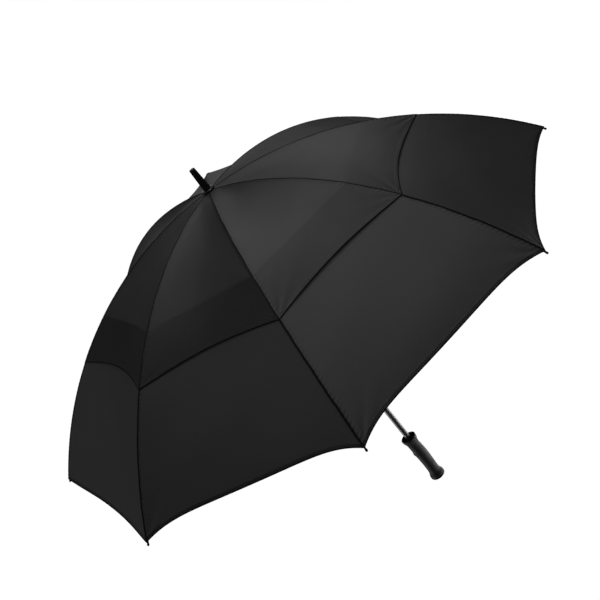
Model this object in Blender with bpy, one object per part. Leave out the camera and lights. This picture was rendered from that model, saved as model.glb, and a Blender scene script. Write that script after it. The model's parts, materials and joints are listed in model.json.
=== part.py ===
"""Golf umbrella with a double canopy, open.

Metres, +Z up along the shaft, the origin in the middle of the handle's flat butt end.
Ribs stand every 45 degrees. A rib and all that moves with it is drawn in the rib plane:
x runs out from the shaft, y along the rib's hinge pins and z up the shaft.

The linkage is eight isosceles triangles. Each rib's stretcher is as long as the rib is from its
crown pivot to its bracket, and both inner pivots stand at the same distance from the shaft.
So while a rib folds by one angle, its stretcher turns twice as far against the rib, the runner
stays level, and it slides straight down the shaft.
"""
import bmesh
import bpy
import numpy as np
from math import atan2, cos, hypot, pi, radians, sin
from mathutils import Matrix, Vector

# ---- Driving dimensions --------------------------------------------------------------------
RIBS = 8
RIB_TURN = 2 * pi / RIBS
HALF_TURN = RIB_TURN / 2
RIB_LENGTH = 0.787            # crown pivot to the rib's tip, along the curve: a 31 inch rib
PIVOT_RADIUS = 0.012          # crown and runner pivots, from the shaft's axis
CLOTH_Z = 0.944               # height of the cloth where it leaves the crown
FERRULE_TIP_Z = 1.006
SLOPE_LINEAR = 1.0983         # slope of the open rib in radians, at a share t of its length:
SLOPE_SQUARE = -0.1992        # SLOPE_LINEAR * t + SLOPE_SQUARE * t * t
GAP = 0.0003                  # between pieces that touch

# canopy
CLOTH_THICK = 0.0004
UPPER_LIFT = 0.0005           # middle of the upper cloth above the canopy's nominal surface
LOWER_LIFT = -0.0005
HEM = (0.4844, 0.024, 2)      # outer edge of the upper canopy, along the rib; how far it is
RIM = (RIB_LENGTH, 0.026, 6)  # pulled in midway between ribs; how sharp its corners are
INNER_EDGE_AT = 0.3607        # inner edge of the lower canopy, along the rib
INNER_SCALLOP = 0.008
PANEL_SAG = 0.020             # how far a panel sinks below a straight line between its ribs
VENT_DROP = 0.007             # lower cloth below the upper one, midway between two ribs

# ribs and stretchers
RIB_DROP = 0.0042             # rib's middle line below the canopy's nominal surface
CHANNEL_WIDTH = 0.0042
CHANNEL_HEIGHT = 0.0036
CHANNEL_WALL = 0.0009
BLADE_WIDTH = 0.0018          # the channels' ends are pinched flat
BRACKET_AT = 0.368            # stretcher bracket, along the rib
BRACKET_DROP = 0.0060         # bracket's pin below the rib's middle line
BRACKET_LENGTH = 0.011
FLEX_AT = 0.380               # where the steel inner rib ends and the glass fibre rib starts
ROD_RADIUS = 0.0018
ROD_END_RADIUS = 0.0014
PIN_RADIUS = 0.0011
EYE_RADIUS = 0.0010           # the eyes that the tie wires run through
WIRE_RADIUS = 0.0006
TIP_RADIUS = 0.0025
TIP_LENGTH = 0.017
TIP_OVERHANG = 0.008          # how far a tip stands past the cloth's corner

# shaft, crown and runner
SHAFT_RADIUS = 0.007
SHAFT_BORE = 0.0055
SHAFT_BOTTOM_Z = 0.0075
SHAFT_TOP_Z = 0.972
BORE_CLEARANCE = 0.0003
HEAD_RADIUS = 0.0148          # slotted heads of the crown and the runner
GROOVE_RADIUS = 0.0106
SLOT_FLOOR_RADIUS = 0.0090
SLOT_WIDTH = 0.0026
FLANGE = 0.0036
GROOVE_HALF = 0.0010
CROWN_BELOW_CLOTH = 0.0008    # the crown's flat top, below the canopy's nominal surface
SLEEVE_RADIUS = 0.0096
SLEEVE_LENGTH = 0.058         # below the runner's pivots
COLLAR_RADIUS = 0.0115
FOLD_LEFT = radians(2.6)      # angle between rib and shaft when the umbrella is closed

# handle
CUP_RIM_Z = 0.140
CUP_BOTTOM_Z = 0.1235
BUTT_CAP_Z = 0.0065
PALM_X = 0.0014               # the grip is fuller on its palm side

PIVOT_Z = CLOTH_Z - RIB_DROP
CATCH_WIDTH = 0.0030
CATCH_REACH = 0.0104          # how far a catch stands out from the shaft's axis
CATCH_LENGTH = 0.016
CATCH_ROOT = 0.014


# ---- The open rib's curve ------------------------------------------------------------------
def rib_slope(s):
    """Angle below the horizontal, in radians, at arc length s."""
    t = max(s, 0.0) / RIB_LENGTH
    return SLOPE_LINEAR * t + SLOPE_SQUARE * t * t


def surface_point(s, lift=0.0):
    """(x, z) of the canopy's nominal surface on a rib at arc length s, raised by lift."""
    steps = 240
    x, z, step = PIVOT_RADIUS + min(s, 0.0), CLOTH_Z, max(s, 0.0) / steps
    for n in range(steps):
        slope = rib_slope((n + 0.5) * step)
        x += cos(slope) * step
        z -= sin(slope) * step
    slope = rib_slope(s)
    return x + lift * sin(slope), z + lift * cos(slope)


CROWN = (PIVOT_RADIUS, PIVOT_Z)
BRACKET = surface_point(BRACKET_AT, -RIB_DROP - BRACKET_DROP)
ARM = hypot(BRACKET[0] - CROWN[0], BRACKET[1] - CROWN[1])
OPEN_ANGLE = atan2(BRACKET[0] - CROWN[0], CROWN[1] - BRACKET[1])
RUNNER = (PIVOT_RADIUS, CROWN[1] - 2 * ARM * cos(OPEN_ANGLE))
CLOSED_RUNNER_Z = CROWN[1] - 2 * ARM * cos(FOLD_LEFT)
FLEX = surface_point(FLEX_AT, -RIB_DROP)


# ---- Modelling helpers ---------------------------------------------------------------------
def clear_scene():
    for obj in list(bpy.data.objects):
        bpy.data.objects.remove(obj, do_unlink=True)


def finish(name, color, roughness, metallic=0.0):
    """A Principled material."""
    material = bpy.data.materials.new(name)
    material.use_nodes = True
    shader = material.node_tree.nodes["Principled BSDF"]
    shader.inputs["Base Color"].default_value = (*color, 1.0)
    shader.inputs["Roughness"].default_value = roughness
    shader.inputs["Metallic"].default_value = metallic
    return material


def make_object(name, mesh, material=None):
    obj = bpy.data.objects.new(name, mesh)
    bpy.context.collection.objects.link(obj)
    if material:
        obj.data.materials.clear()
        obj.data.materials.append(material)
    return obj


def mesh_from(bm, name, sharp=35):
    bmesh.ops.recalc_face_normals(bm, faces=bm.faces)
    mesh = bpy.data.meshes.new(name)
    bm.to_mesh(mesh)
    bm.free()
    mesh.shade_smooth()
    mesh.set_sharp_from_angle(angle=radians(sharp))
    return mesh


def loft(name, rings, sharp=35):
    """A closed skin over rings of equal length, with flat ends."""
    bm = bmesh.new()
    loops = [[bm.verts.new(p) for p in ring] for ring in rings]
    for a, b in zip(loops, loops[1:]):
        for i in range(len(a)):
            j = (i + 1) % len(a)
            bm.faces.new((a[i], a[j], b[j], b[i]))
    bm.faces.new(loops[0])
    bm.faces.new(loops[-1])
    return mesh_from(bm, name, sharp)


def lathe(name, outline, segments, sharp=35):
    """A closed outline of (radius, z) points, turned about Z."""
    bm = bmesh.new()
    corners = [bm.verts.new((r, 0.0, z)) for r, z in outline]
    edges = [bm.edges.new((a, b)) for a, b in zip(corners, corners[1:] + corners[:1])]
    bmesh.ops.spin(bm, geom=corners + edges, cent=(0, 0, 0), axis=(0, 0, 1),
                   angle=2 * pi, steps=segments, use_merge=True)
    bmesh.ops.remove_doubles(bm, verts=bm.verts, dist=1e-6)
    on_axis = [e for e in bm.edges if all(hypot(v.co.x, v.co.y) < 1e-6 for v in e.verts)]
    bmesh.ops.delete(bm, geom=on_axis, context="EDGES")
    return mesh_from(bm, name, sharp)


def torus(name, radius, wire, segments, sides):
    outline = [(radius + wire * cos(a), wire * sin(a))
               for a in np.linspace(0, 2 * pi, sides, endpoint=False)]
    return lathe(name, outline, segments, sharp=180)


def box(name, low, high):
    bm = bmesh.new()
    bmesh.ops.create_cube(bm, size=1.0)
    size = Vector(high) - Vector(low)
    middle = (Vector(high) + Vector(low)) / 2
    bmesh.ops.transform(bm, matrix=Matrix.Translation(middle) @ Matrix.Diagonal((*size, 1)),
                        verts=bm.verts)
    return mesh_from(bm, name)


def cross_pin(name, x, z, radius, half_length, segments=8):
    """A round bar along y."""
    ring = [(x + radius * cos(a), z + radius * sin(a))
            for a in np.linspace(0, 2 * pi, segments, endpoint=False)]
    return loft(name, [[(px, y, pz) for px, pz in ring] for y in (-half_length, half_length)])


def combine(mesh, *steps):
    """mesh after Boolean steps, each (operation, other mesh)."""
    obj = make_object("work", mesh)
    others = []
    for operation, other in steps:
        cutter = make_object("cutter", other)
        cutter.hide_render = True
        cutter.display_type = "WIRE"
        modifier = obj.modifiers.new(operation, "BOOLEAN")
        modifier.operation = operation
        modifier.object = cutter
        others.append(cutter)
    depsgraph = bpy.context.evaluated_depsgraph_get()
    result = bpy.data.meshes.new_from_object(obj.evaluated_get(depsgraph))
    for used in [obj, *others]:
        bpy.data.objects.remove(used, do_unlink=True)
    result.name = mesh.name
    result.shade_smooth()
    result.set_sharp_from_angle(angle=radians(35))
    return result


def place(name, mesh, origin, rib, material):
    """A piece drawn in the rib plane, put at its rib with its origin on its joint's axis."""
    x, z = origin
    if not mesh.get("centred"):
        mesh.transform(Matrix.Translation((-x, 0.0, -z)))
        mesh["centred"] = True
    obj = make_object(name, mesh, material)
    turn = rib * RIB_TURN
    obj.location = (x * cos(turn), x * sin(turn), z)
    obj.rotation_euler = (0.0, 0.0, turn)
    return obj


# ---- Canopy --------------------------------------------------------------------------------
def bow(across, power=2):
    """0 on a rib and 1 midway to the next one; a higher power rises faster from the rib."""
    return 1 - (1 - across) ** power


def cloth_point(s, turn, lift, drop, edge):
    """Canopy point: s along the rib, turn away from the rib, lift and drop along the normal.

    The cloth runs straight from rib to rib and sinks by PANEL_SAG midway, in proportion to
    its width. edge is (end, scallop, power): the sheet's outer edge, how far it is pulled in
    midway between the ribs, and how sharply its corners are drawn out.
    """
    across = abs(turn) / HALF_TURN
    end, scallop, power = edge
    s = s - scallop * bow(across, power) * (max(s, 0.0) / end) ** 2
    x, z = surface_point(s)
    slope = rib_slope(s)
    inward = lift - (PANEL_SAG * max(s, 0.0) / RIB_LENGTH + drop) * bow(across)
    radius = (x + inward * sin(slope)) * cos(HALF_TURN) / cos(HALF_TURN - abs(turn))
    return radius, z + inward * cos(slope)


def cloth_sheet(name, start, edge, rows, lift, drop=0.0, start_scallop=0.0):
    """One rib's share of a canopy: a thin closed sheet, from mid-panel to mid-panel."""
    turns = [HALF_TURN * share for share in (-1.0, -0.3, 0.0, 0.3, 1.0)]
    columns = len(turns) - 1
    bm = bmesh.new()
    sides = []
    for side in (CLOTH_THICK / 2, -CLOTH_THICK / 2):
        grid = []
        for i in range(rows + 1):
            line = []
            for turn in turns:
                across = abs(turn) / HALF_TURN
                share = i / rows
                s = start - start_scallop * bow(across) * (1 - share)
                s += (edge[0] - start) * share
                radius, z = cloth_point(s, turn, lift + side, drop, edge)
                x, y = radius * cos(turn), radius * sin(turn)
                if across == 1.0:
                    x += GAP / 2 * sin(HALF_TURN)
                    y -= GAP / 2 * cos(HALF_TURN) * (1 if turn > 0 else -1)
                line.append(bm.verts.new((x, y, z)))
            grid.append(line)
        sides.append(grid)
    top, bottom = sides
    for grid in sides:
        for i in range(rows):
            for j in range(columns):
                bm.faces.new((grid[i][j], grid[i][j + 1], grid[i + 1][j + 1], grid[i + 1][j]))
    ring = [(0, j) for j in range(columns)] + [(i, columns) for i in range(rows)]
    ring += [(rows, columns - j) for j in range(columns)] + [(rows - i, 0) for i in range(rows)]
    for (i, j), (k, l) in zip(ring, ring[1:] + ring[:1]):
        bm.faces.new((top[i][j], top[k][l], bottom[k][l], bottom[i][j]))
    return mesh_from(bm, name, sharp=60)


# ---- Ribs ----------------------------------------------------------------------------------
def channel(name, stations):
    """A pressed channel, open below. A station is (x, z, slope, width, height, wall, depth):
    its upper face's middle, its slope, its size, its wall, and how deep its hollow is."""
    rings = []
    for x, z, slope, width, height, wall, depth in stations:
        half, inner = width / 2, width / 2 - wall
        section = [(-half, 0), (half, 0), (half, -height), (inner, -height),
                   (inner, depth - height), (-inner, depth - height), (-inner, -height),
                   (-half, -height)]
        rings.append([(x + up * sin(slope), y, z + up * cos(slope)) for y, up in section])
    return loft(name, rings)


BLADE = (BLADE_WIDTH, CHANNEL_HEIGHT, BLADE_WIDTH * 0.3, CHANNEL_HEIGHT * 0.1)
TROUGH = (CHANNEL_WIDTH, CHANNEL_HEIGHT, CHANNEL_WALL, CHANNEL_HEIGHT - CHANNEL_WALL)


def inner_rib():
    """Steel channel: eye at the crown, and two long cheeks with a rivet at the bracket."""
    top = CHANNEL_HEIGHT / 2 - RIB_DROP
    cheek = CHANNEL_HEIGHT / 2 + BRACKET_DROP + 0.0026
    cheeks = (CHANNEL_WIDTH, cheek, CHANNEL_WALL, cheek - CHANNEL_WALL)
    half = BRACKET_LENGTH / 2
    reach = [(-0.0018, BLADE), (0.010, BLADE), (0.020, TROUGH)]
    reach += [(s, TROUGH) for s in np.linspace(0.075, BRACKET_AT - half - 0.005, 4)]
    reach += [(BRACKET_AT - half, cheeks), (BRACKET_AT + half - 0.002, cheeks),
              (BRACKET_AT + half + 0.002, TROUGH), (FLEX_AT - ROD_RADIUS - GAP, TROUGH)]
    stations = [(*surface_point(s, top), rib_slope(s), *shape) for s, shape in reach]
    rivet = cross_pin("rivet", *BRACKET, PIN_RADIUS, CHANNEL_WIDTH / 2 + 0.0007)
    eye = cross_pin("eye", *CROWN, EYE_RADIUS, 0.004)
    return combine(channel("rib_inner", stations), ("UNION", rivet), ("DIFFERENCE", eye))


def stretcher():
    """Steel channel between the bracket's rivet and the runner's wire."""
    along = atan2(BRACKET[1] - RUNNER[1], BRACKET[0] - RUNNER[0])
    up = CHANNEL_HEIGHT / 2
    end = 0.0022
    reach = [(-end, BLADE), (0.012, BLADE), (0.024, TROUGH), (ARM - 0.026, TROUGH),
             (ARM - 0.014, BLADE), (ARM + end, BLADE)]
    stations = []
    for s, shape in reach:
        x = RUNNER[0] + s * cos(along) - up * sin(along)
        z = RUNNER[1] + s * sin(along) + up * cos(along)
        stations.append((x, z, -along, *shape))
    rivet_hole = cross_pin("rivet_hole", *BRACKET, PIN_RADIUS + 0.0003, 0.004)
    eye = cross_pin("eye", *RUNNER, EYE_RADIUS, 0.004)
    body = channel("stretcher", stations)
    return combine(body, ("DIFFERENCE", rivet_hole), ("DIFFERENCE", eye))


def rod_ring(s, radius, sides=8):
    x, z = surface_point(s, -RIB_DROP)
    slope = rib_slope(s)
    ring = []
    for n in range(sides):
        a = 2 * pi * (n + 0.5) / sides
        up = radius * sin(a)
        ring.append((x + up * sin(slope), radius * cos(a), z + up * cos(slope)))
    return ring


ROD_END_AT = RIB_LENGTH - 0.0035


def outer_rib():
    """Tapered glass fibre rod with a round nose on the flex axis."""
    rings = [rod_ring(FLEX_AT - ROD_RADIUS * cos(a), ROD_RADIUS * sin(a))
             for a in radians(20) * np.arange(1, 5)]
    for share in np.linspace(0.0, 1.0, 8):
        radius = ROD_RADIUS + (ROD_END_RADIUS - ROD_RADIUS) * share
        s = FLEX_AT + (ROD_END_AT - FLEX_AT) * share
        rings.append(rod_ring(s, radius))
    return loft("rib_outer", rings)


def rib_tip():
    """Moulded cap on the rib's end, with a blind bore for the rod and a waist for the cloth."""
    start = RIB_LENGTH + TIP_OVERHANG - TIP_LENGTH
    end = RIB_LENGTH + TIP_OVERHANG
    bore = ROD_END_RADIUS + GAP + 0.0001
    waist = TIP_RADIUS * 0.78
    reach = [(ROD_END_AT + GAP, bore), (start, bore), (start, TIP_RADIUS * 0.85),
             (start + 0.002, TIP_RADIUS * 0.95), (RIB_LENGTH - 0.003, TIP_RADIUS * 0.95),
             (RIB_LENGTH - 0.0015, waist), (RIB_LENGTH + 0.0015, waist),
             (RIB_LENGTH + 0.003, TIP_RADIUS), (end - 0.0018, TIP_RADIUS), (end, TIP_RADIUS * 0.6)]
    return loft("rib_tip", [rod_ring(s, radius) for s, radius in reach])


# ---- Crown and runner ----------------------------------------------------------------------
def slots(height_from, height_to):
    """Eight slot cutters in one mesh, each along a rib."""
    bm = bmesh.new()
    middle = (SLOT_FLOOR_RADIUS + HEAD_RADIUS + 0.002) / 2
    size = (HEAD_RADIUS + 0.002 - SLOT_FLOOR_RADIUS, SLOT_WIDTH, height_to - height_from)
    for rib in range(RIBS):
        matrix = Matrix.Rotation(rib * RIB_TURN, 4, "Z")
        matrix @= Matrix.Translation((middle, 0.0, (height_from + height_to) / 2))
        bmesh.ops.create_cube(bm, size=1.0, matrix=matrix @ Matrix.Diagonal((*size, 1.0)))
    return mesh_from(bm, "slots")


def pulley(z):
    """Outline of a slotted head: two flanges with the tie wire's groove between them, at z."""
    groove = GROOVE_HALF
    return [(HEAD_RADIUS - 0.0008, z - groove - FLANGE), (HEAD_RADIUS, z - groove - FLANGE + 0.0008),
            (HEAD_RADIUS, z - groove), (GROOVE_RADIUS, z - groove), (GROOVE_RADIUS, z + groove),
            (HEAD_RADIUS, z + groove)]


def crown_notch():
    top = CLOTH_Z - CROWN_BELOW_CLOTH
    bore = SHAFT_RADIUS + BORE_CLEARANCE
    outline = [(bore, top), (bore, PIVOT_Z - 0.016), (0.0095, PIVOT_Z - 0.016),
               (0.0105, PIVOT_Z - 0.015), (0.0105, PIVOT_Z - GROOVE_HALF - FLANGE)]
    outline += pulley(PIVOT_Z) + [(HEAD_RADIUS, top)]
    body = lathe("crown_notch", outline, 24)
    cutter = slots(PIVOT_Z - GROOVE_HALF - FLANGE - 0.001, top + 0.001)
    return combine(body, ("DIFFERENCE", cutter))


def runner():
    """Slotted head over a sleeve, with a thumb collar and a window for the bottom catch."""
    z = RUNNER[1]
    bore = SHAFT_RADIUS + BORE_CLEARANCE
    top = z + GROOVE_HALF + FLANGE
    low = z - SLEEVE_LENGTH
    outline = [(bore, top), (bore, low), (SLEEVE_RADIUS - 0.0006, low),
               (SLEEVE_RADIUS, low + 0.0006), (SLEEVE_RADIUS, low + 0.020),
               (COLLAR_RADIUS, low + 0.022), (COLLAR_RADIUS, low + 0.026),
               (SLEEVE_RADIUS, low + 0.028), (SLEEVE_RADIUS, z - 0.014),
               (0.0118, z - 0.009), (0.0125, z - GROOVE_HALF - FLANGE)]
    outline += pulley(z) + [(HEAD_RADIUS, top - 0.0008), (HEAD_RADIUS - 0.0008, top)]
    body = lathe("runner", outline, 24)
    cutter = slots(z - GROOVE_HALF - FLANGE + 0.0012, top + 0.001)
    window = box("window", (-CATCH_WIDTH / 2 - 0.0006, 0.004, low + 0.003),
                 (CATCH_WIDTH / 2 + 0.0006, 0.020, low + 0.017 + 0.0025))
    return combine(body, ("DIFFERENCE", cutter), ("DIFFERENCE", window))


# ---- Shaft, catches and ferrule ------------------------------------------------------------
TOP_CATCH_Z = RUNNER[1] - SLEEVE_LENGTH - GAP
BOTTOM_CATCH_Z = CLOSED_RUNNER_Z - SLEEVE_LENGTH + 0.0035


def catch(name, shoulder, rises):
    """Sprung leaf in the shaft's wall: a square shoulder at z = shoulder and a ramp beyond it,
    above the shoulder if rises is 1, below it if -1. Its root lies inside the tube."""
    root = shoulder + rises * (CATCH_LENGTH + CATCH_ROOT)
    ramp_end = shoulder + rises * CATCH_LENGTH
    inner = SHAFT_BORE - 0.0007
    outline = [(0.0022, shoulder), (CATCH_REACH, shoulder), (CATCH_REACH, shoulder + rises * 0.0015),
               (inner, ramp_end), (inner, root), (inner - 0.0012, root),
               (inner - 0.0012, ramp_end - rises * 0.003), (0.0022, shoulder + rises * 0.004)]
    half = CATCH_WIDTH / 2
    return loft(name, [[(x, y, z) for y, z in outline] for x in (-half, half)])


def catch_slot(shoulder, rises):
    """Opening in the shaft's wall for a catch, with room for its ramp."""
    ends = sorted((shoulder - rises * 0.0008, shoulder + rises * (CATCH_LENGTH + 0.001)))
    half = CATCH_WIDTH / 2 + 0.0004
    return box("catch_slot", (-half, 0.003, ends[0]), (half, 0.012, ends[1]))


def shaft():
    outline = [(SHAFT_RADIUS, SHAFT_BOTTOM_Z), (SHAFT_RADIUS, SHAFT_TOP_Z),
               (SHAFT_BORE, SHAFT_TOP_Z), (SHAFT_BORE, SHAFT_BOTTOM_Z)]
    return combine(lathe("shaft", outline, 24),
                   ("DIFFERENCE", catch_slot(TOP_CATCH_Z, -1)),
                   ("DIFFERENCE", catch_slot(BOTTOM_CATCH_Z, 1)))


TOP_CAP_Z = CLOTH_Z + UPPER_LIFT + CLOTH_THICK / 2 + GAP
TOP_CAP_HEIGHT = 0.0055
FERRULE_Z = TOP_CAP_Z + TOP_CAP_HEIGHT + GAP


def top_cap():
    """Glossy domed disc that holds the canopy down on the crown."""
    bore = SHAFT_RADIUS + BORE_CLEARANCE
    outline = [(bore, TOP_CAP_Z + TOP_CAP_HEIGHT), (bore, TOP_CAP_Z), (0.0150, TOP_CAP_Z),
               (0.0160, TOP_CAP_Z + 0.0008), (0.0161, TOP_CAP_Z + 0.0022),
               (0.0152, TOP_CAP_Z + 0.0038), (0.0130, TOP_CAP_Z + 0.0049),
               (0.0100, TOP_CAP_Z + TOP_CAP_HEIGHT)]
    return lathe("top_cap", outline, 28)


def ferrule():
    """Tapered end cap with a blind bore over the shaft's top end."""
    bore = SHAFT_RADIUS + BORE_CLEARANCE
    end = FERRULE_TIP_Z
    outline = [(0.0, SHAFT_TOP_Z + GAP), (bore, SHAFT_TOP_Z + GAP), (bore, FERRULE_Z),
               (0.0086, FERRULE_Z), (0.0089, FERRULE_Z + 0.0006), (0.0089, FERRULE_Z + 0.0026),
               (0.0081, FERRULE_Z + 0.0034), (0.0076, SHAFT_TOP_Z + 0.002), (0.0064, end - 0.010),
               (0.0062, end - 0.0085), (0.0067, end - 0.0075), (0.0067, end - 0.0022),
               (0.0060, end - 0.0006), (0.0046, end), (0.0, end)]
    return lathe("ferrule", outline, 24)


# ---- Handle --------------------------------------------------------------------------------
def grip_radius(z):
    """Radius of the grip's mean outline at height z."""
    heights = [BUTT_CAP_Z + GAP, 0.0100, 0.0150, 0.0205, 0.0280, 0.0500, 0.0750, 0.0910, 0.1080,
               0.1170, CUP_BOTTOM_Z - GAP]
    radii = [0.0192, 0.0190, 0.0172, 0.0153, 0.0146, 0.0149, 0.0157, 0.0158, 0.0154, 0.0152,
             0.0160]
    return float(np.interp(z, heights, radii))


def grip():
    """Rubber sleeve: fuller on the palm side (+X), with a finger stop on the other side."""
    segments = 28
    heights = [BUTT_CAP_Z + GAP, 0.0100, 0.0150, 0.0205, 0.0280, 0.0500, 0.0700, 0.0830, 0.0880,
               0.0930, 0.1000, 0.1100, 0.1170, CUP_BOTTOM_Z - GAP]
    bore = SHAFT_RADIUS + BORE_CLEARANCE
    turns = np.linspace(0, 2 * pi, segments, endpoint=False)

    def outline(z):
        ring = []
        middle = max(0.0, sin(pi * np.clip((z - 0.02) / 0.095, 0, 1)))
        stop = np.exp(-((z - 0.0905) / 0.0045) ** 2)
        for a in turns:
            front = max(0.0, -cos(a)) ** 2
            r = grip_radius(z) + PALM_X * middle * cos(a) + 0.0016 * stop * front
            ring.append((r * cos(a), r * sin(a), z))
        return ring

    rings = [outline(z) for z in heights]
    bm = bmesh.new()
    inside = [[(bore * cos(a), bore * sin(a), z) for a in turns] for z in (heights[-1], heights[0])]
    loops = [[bm.verts.new(p) for p in ring] for ring in rings + inside]
    for a, b in zip(loops, loops[1:] + loops[:1]):
        for i in range(segments):
            j = (i + 1) % segments
            bm.faces.new((a[i], a[j], b[j], b[i]))
    return mesh_from(bm, "grip", sharp=50)


def tip_cup():
    """Glossy cup at the top of the handle, which holds the rib tips of the closed umbrella."""
    bore = SHAFT_RADIUS + BORE_CLEARANCE
    outline = [(bore, CUP_BOTTOM_Z), (0.0161, CUP_BOTTOM_Z), (0.0176, CUP_BOTTOM_Z + 0.0045),
               (0.0190, CUP_BOTTOM_Z + 0.0090), (0.0196, CUP_RIM_Z - 0.0030),
               (0.0197, CUP_RIM_Z - 0.0010), (0.0190, CUP_RIM_Z), (0.0180, CUP_RIM_Z - 0.0006),
               (0.0172, CUP_RIM_Z - 0.0040), (0.0150, CUP_BOTTOM_Z + 0.0022),
               (0.0135, CUP_BOTTOM_Z + 0.0014), (bore, CUP_BOTTOM_Z + 0.0014)]
    return lathe("tip_cup", outline, 28)


def butt_cap():
    """Rounded end cap with a flat end and a spigot in the shaft's bore."""
    spigot = SHAFT_BORE - BORE_CLEARANCE
    outline = [(0.0, 0.0), (0.0125, 0.0), (0.0160, 0.0006), (0.0182, 0.0020), (0.0191, 0.0040),
               (0.0189, 0.0058), (0.0182, BUTT_CAP_Z), (spigot, BUTT_CAP_Z),
               (spigot, 0.0200), (0.0, 0.0200)]
    return lathe("butt_cap", outline, 28)


# ---- Assembly ------------------------------------------------------------------------------
def build():
    clear_scene()
    upper = finish("upper_cloth", (0.030, 0.030, 0.032), 0.62)
    lower = finish("lower_cloth", (0.022, 0.022, 0.024), 0.62)
    steel = finish("rib_steel", (0.08, 0.08, 0.085), 0.38, 0.9)
    fibre = finish("glass_fibre", (0.03, 0.03, 0.032), 0.35)
    plastic = finish("tip_plastic", (0.02, 0.02, 0.021), 0.45)
    wire_steel = finish("tie_wire", (0.55, 0.55, 0.56), 0.3, 1.0)
    leaf_steel = finish("catch_steel", (0.50, 0.50, 0.52), 0.3, 1.0)

    upper_mesh = cloth_sheet("canopy_upper", -0.0042, HEM, 10, UPPER_LIFT)
    lower_mesh = cloth_sheet("canopy_lower", INNER_EDGE_AT, RIM, 9, LOWER_LIFT,
                             drop=VENT_DROP, start_scallop=INNER_SCALLOP)
    rib_meshes = (
        ("canopy_upper", upper_mesh, CROWN, upper),
        ("canopy_lower", lower_mesh, FLEX, lower),
        ("rib_inner", inner_rib(), CROWN, steel),
        ("rib_outer", outer_rib(), FLEX, fibre),
        ("rib_tip", rib_tip(), FLEX, plastic),
        ("stretcher", stretcher(), BRACKET, steel),
    )
    for rib in range(RIBS):
        for name, mesh, origin, material in rib_meshes:
            place(f"{name}_{rib + 1}", mesh, origin, rib, material)

    crown_wire = torus("crown_wire", PIVOT_RADIUS, WIRE_RADIUS, 24, 6)
    crown_wire.transform(Matrix.Translation((0, 0, PIVOT_Z)))
    make_object("crown_wire", crown_wire, wire_steel)
    make_object("crown_notch", crown_notch(), finish("crown_plastic", (0.02, 0.02, 0.02), 0.45))
    make_object("top_cap", top_cap(), finish("cap_gloss", (0.008, 0.008, 0.009), 0.12))
    make_object("ferrule", ferrule(), finish("ferrule_plastic", (0.02, 0.02, 0.022), 0.3))
    make_object("shaft", shaft(), finish("shaft_graphite", (0.045, 0.045, 0.048), 0.28))
    make_object("grip", grip(), finish("grip_rubber", (0.035, 0.035, 0.037), 0.55))
    make_object("tip_cup", tip_cup(), finish("cup_gloss", (0.01, 0.01, 0.01), 0.15))
    make_object("butt_cap", butt_cap(), finish("butt_plastic", (0.02, 0.02, 0.021), 0.4))
    make_object("top_catch", catch("top_catch", TOP_CATCH_Z, -1), leaf_steel)
    make_object("bottom_catch", catch("bottom_catch", BOTTOM_CATCH_Z, 1), leaf_steel)

    place("runner", runner(), RUNNER, 0, finish("runner_plastic", (0.02, 0.02, 0.021), 0.4))
    runner_wire = torus("runner_wire", PIVOT_RADIUS, WIRE_RADIUS, 24, 6)
    runner_wire.transform(Matrix.Translation((0, 0, RUNNER[1])))
    place("runner_wire", runner_wire, RUNNER, 0, wire_steel)


build()
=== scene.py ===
"""Golf umbrella with a vented double canopy, open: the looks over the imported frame.

Metres, +Z up the shaft. Ribs stand every 45 degrees and rib k is at (k - 1) * 45. Panel k lies
between rib k and the next one. The cloth follows one formula: s runs along a rib from the crown,
turn runs away from the rib, and each panel is cut into two halves that ride on their own ribs.
"""
import json
from math import cos, pi, radians, sin

import bmesh
import bpy
import numpy as np
from mathutils import Matrix, Vector


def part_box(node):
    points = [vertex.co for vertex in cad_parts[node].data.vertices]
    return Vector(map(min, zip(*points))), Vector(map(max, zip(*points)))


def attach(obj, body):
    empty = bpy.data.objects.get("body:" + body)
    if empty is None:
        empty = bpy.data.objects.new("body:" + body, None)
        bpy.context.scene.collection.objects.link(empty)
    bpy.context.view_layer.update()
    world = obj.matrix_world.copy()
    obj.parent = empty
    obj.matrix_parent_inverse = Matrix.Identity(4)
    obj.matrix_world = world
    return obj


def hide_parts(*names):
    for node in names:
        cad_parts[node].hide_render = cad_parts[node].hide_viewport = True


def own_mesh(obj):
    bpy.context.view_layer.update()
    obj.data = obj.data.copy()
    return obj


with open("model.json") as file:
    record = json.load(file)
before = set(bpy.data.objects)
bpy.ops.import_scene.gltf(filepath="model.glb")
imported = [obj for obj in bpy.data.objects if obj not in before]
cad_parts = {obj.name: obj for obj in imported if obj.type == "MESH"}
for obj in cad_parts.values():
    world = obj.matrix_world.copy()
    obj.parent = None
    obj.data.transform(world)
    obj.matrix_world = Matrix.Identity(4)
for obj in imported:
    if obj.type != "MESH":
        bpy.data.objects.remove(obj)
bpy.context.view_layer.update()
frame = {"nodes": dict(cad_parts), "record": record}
JOINTS = {joint["name"]: joint for joint in frame["record"]["behaviour"]["joints"]}

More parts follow.
